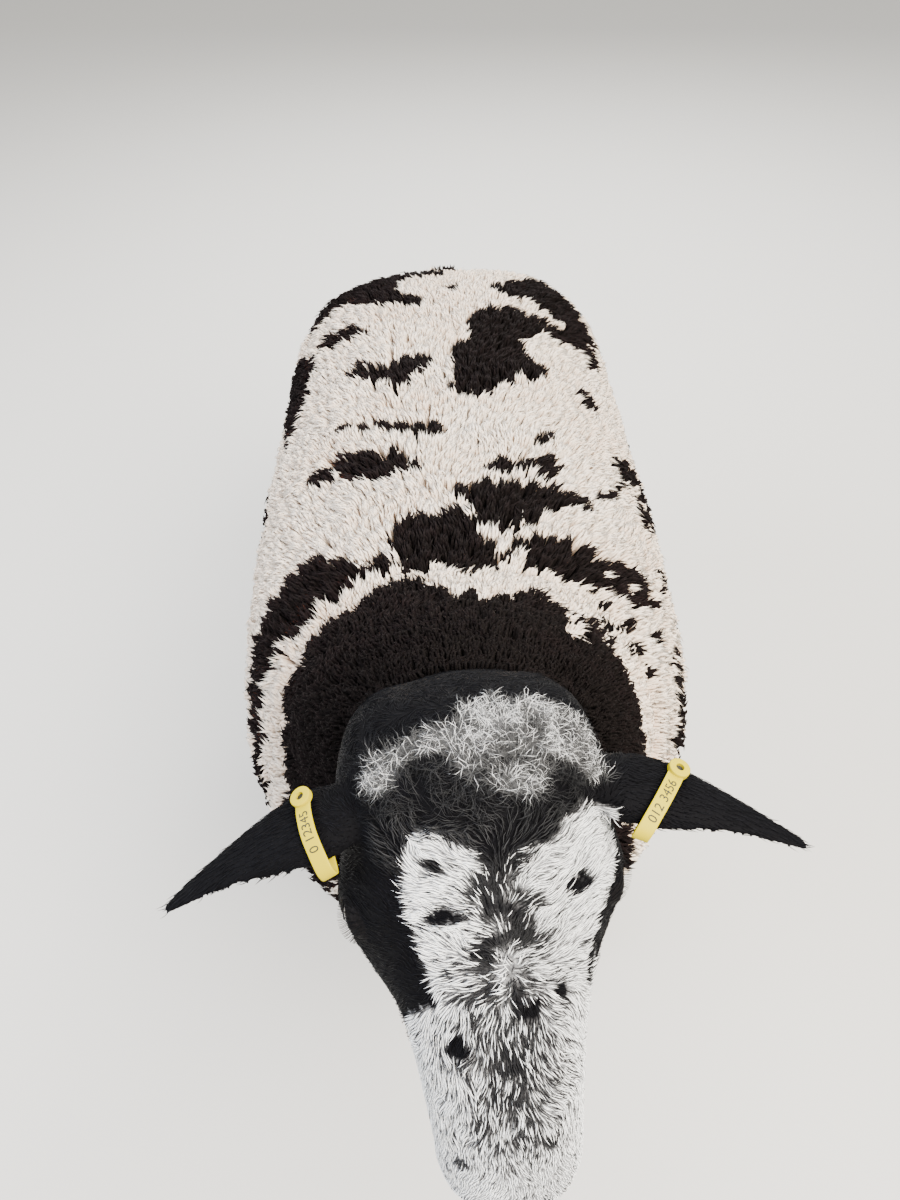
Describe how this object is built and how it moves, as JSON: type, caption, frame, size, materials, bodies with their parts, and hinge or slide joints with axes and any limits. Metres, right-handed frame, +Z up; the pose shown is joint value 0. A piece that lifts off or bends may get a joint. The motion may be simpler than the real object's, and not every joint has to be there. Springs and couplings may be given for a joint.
{
  "type": "dutch spotted sheep",
  "caption": "Standing woolly sheep with dark and white patches, head raised, ears held out sideways, a tag in each ear. Still life-size model.",
  "frame": {"origin": "on the floor, below the middle of the whole animal", "axes": "+Z up; the sheep faces -Y and its left side is at +X"},
  "size_m": [0.4977, 1.3866, 1.0284],
  "materials": {
    "fleece": "dense crimped wool, cream white with near-black brown patches",
    "short_fur": "short lying hair, black with white and roan areas",
    "eye": "wet, glossy, brown with a dark level pupil",
    "ear_tag": "moulded yellow polyurethane",
    "hoof_horn": "dark, faintly ringed horn"
  },
  "bodies": {
    "root": {"torso": "fleece", "neck": "fleece", "tail": "fleece", "head": "short_fur", "ear_left": "short_fur", "ear_right": "short_fur", "eye_left": "eye", "eye_right": "eye", "ear_tag_left": "ear_tag", "ear_tag_right": "ear_tag", "leg_front_left": "fleece", "shank_front_left": "short_fur", "leg_front_right": "fleece", "shank_front_right": "short_fur", "leg_hind_left": "fleece", "shank_hind_left": "short_fur", "leg_hind_right": "fleece", "shank_hind_right": "short_fur", "hoof_front_left_left_claw": "hoof_horn", "hoof_front_left_right_claw": "hoof_horn", "hoof_front_right_left_claw": "hoof_horn", "hoof_front_right_right_claw": "hoof_horn", "hoof_hind_left_left_claw": "hoof_horn", "hoof_hind_left_right_claw": "hoof_horn", "hoof_hind_right_left_claw": "hoof_horn", "hoof_hind_right_right_claw": "hoof_horn"}
  },
  "joints": []
}
